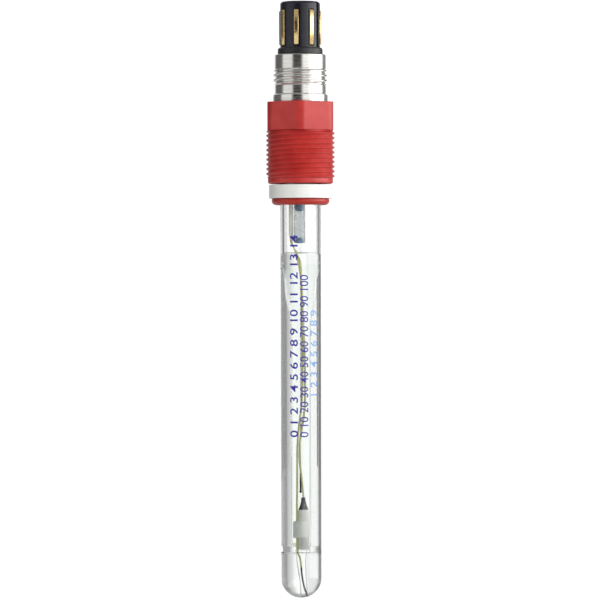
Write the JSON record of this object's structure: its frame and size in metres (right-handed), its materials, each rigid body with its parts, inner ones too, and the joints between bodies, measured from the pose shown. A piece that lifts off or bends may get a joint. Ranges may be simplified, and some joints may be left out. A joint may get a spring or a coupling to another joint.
{
  "type": "ph electrode",
  "caption": "Slim glass combination pH electrode with a threaded red process collar, a white slip ring, a steel coupling sleeve and a ribbed plug head with gilt contacts.",
  "frame": {"origin": "on the electrode's axis, in the plane of the slip ring's underside, which seats in the process port", "axes": "+Z along the axis from the glass tip to the plug head, -Y towards the front of the picture, +X to its right"},
  "size_m": [0.0204, 0.0214, 0.1766],
  "materials": {
    "clear_glass": "polished clear",
    "membrane_glass": "polished, faintly grey",
    "porous_ceramic": "matt",
    "dark_wire": "drawn",
    "white_plastic": "satin",
    "red_rubber": "smooth",
    "red_plastic": "satin",
    "brushed_steel": "turned and brushed",
    "black_plastic": "satin",
    "black_rubber": "smooth",
    "cast_resin": "cast",
    "cloudy_plastic": "translucent",
    "blue_plastic": "satin",
    "cream_insulation": "satin",
    "olive_insulation": "satin",
    "amber_insulation": "satin",
    "dark_bead": "satin",
    "white_ceramic": "matt",
    "black_coat": "matt",
    "gilt_contact": "gilt"
  },
  "bodies": {
    "electrode": {"shaft_tube": "clear_glass", "stem_tube": "clear_glass", "membrane_bulb": "membrane_glass", "finger_tube": "clear_glass", "ceramic_diaphragm": "porous_ceramic", "solution_ground_wire": "dark_wire", "shaft_o_ring": "red_rubber", "screw_collar": "red_plastic", "threaded_sleeve": "brushed_steel", "plug_insert": "black_plastic", "plug_seal_ring": "black_rubber", "head_potting": "cast_resin", "cartridge_tube": "cloudy_plastic", "cartridge_plug_upper": "blue_plastic", "cartridge_plug_lower": "blue_plastic", "cartridge_lead": "cream_insulation", "lead_cable": "cream_insulation", "ground_lead": "olive_insulation", "sensor_lead_1": "amber_insulation", "sensor_lead_2": "amber_insulation", "lead_ferrule": "dark_bead", "sensor_body": "white_ceramic", "sensor_collar": "white_ceramic", "inner_reference_wire": "dark_wire", "silver_chloride_tip": "black_coat", "reference_wire": "dark_wire", "contact_blade_1": "gilt_contact", "contact_blade_2": "gilt_contact", "contact_blade_3": "gilt_contact", "contact_blade_4": "gilt_contact", "contact_blade_5": "gilt_contact", "contact_blade_6": "gilt_contact", "contact_blade_7": "gilt_contact", "contact_blade_8": "gilt_contact"},
    "slip_ring": {"slip_ring": "white_plastic"}
  },
  "joints": [
    {"name": "slip_ring_turn", "type": "hinge", "parent": "electrode", "child": "slip_ring", "pos_m": [0, 0, 0.002], "axis": [0, 0, 1], "continuous": true}
  ]
}
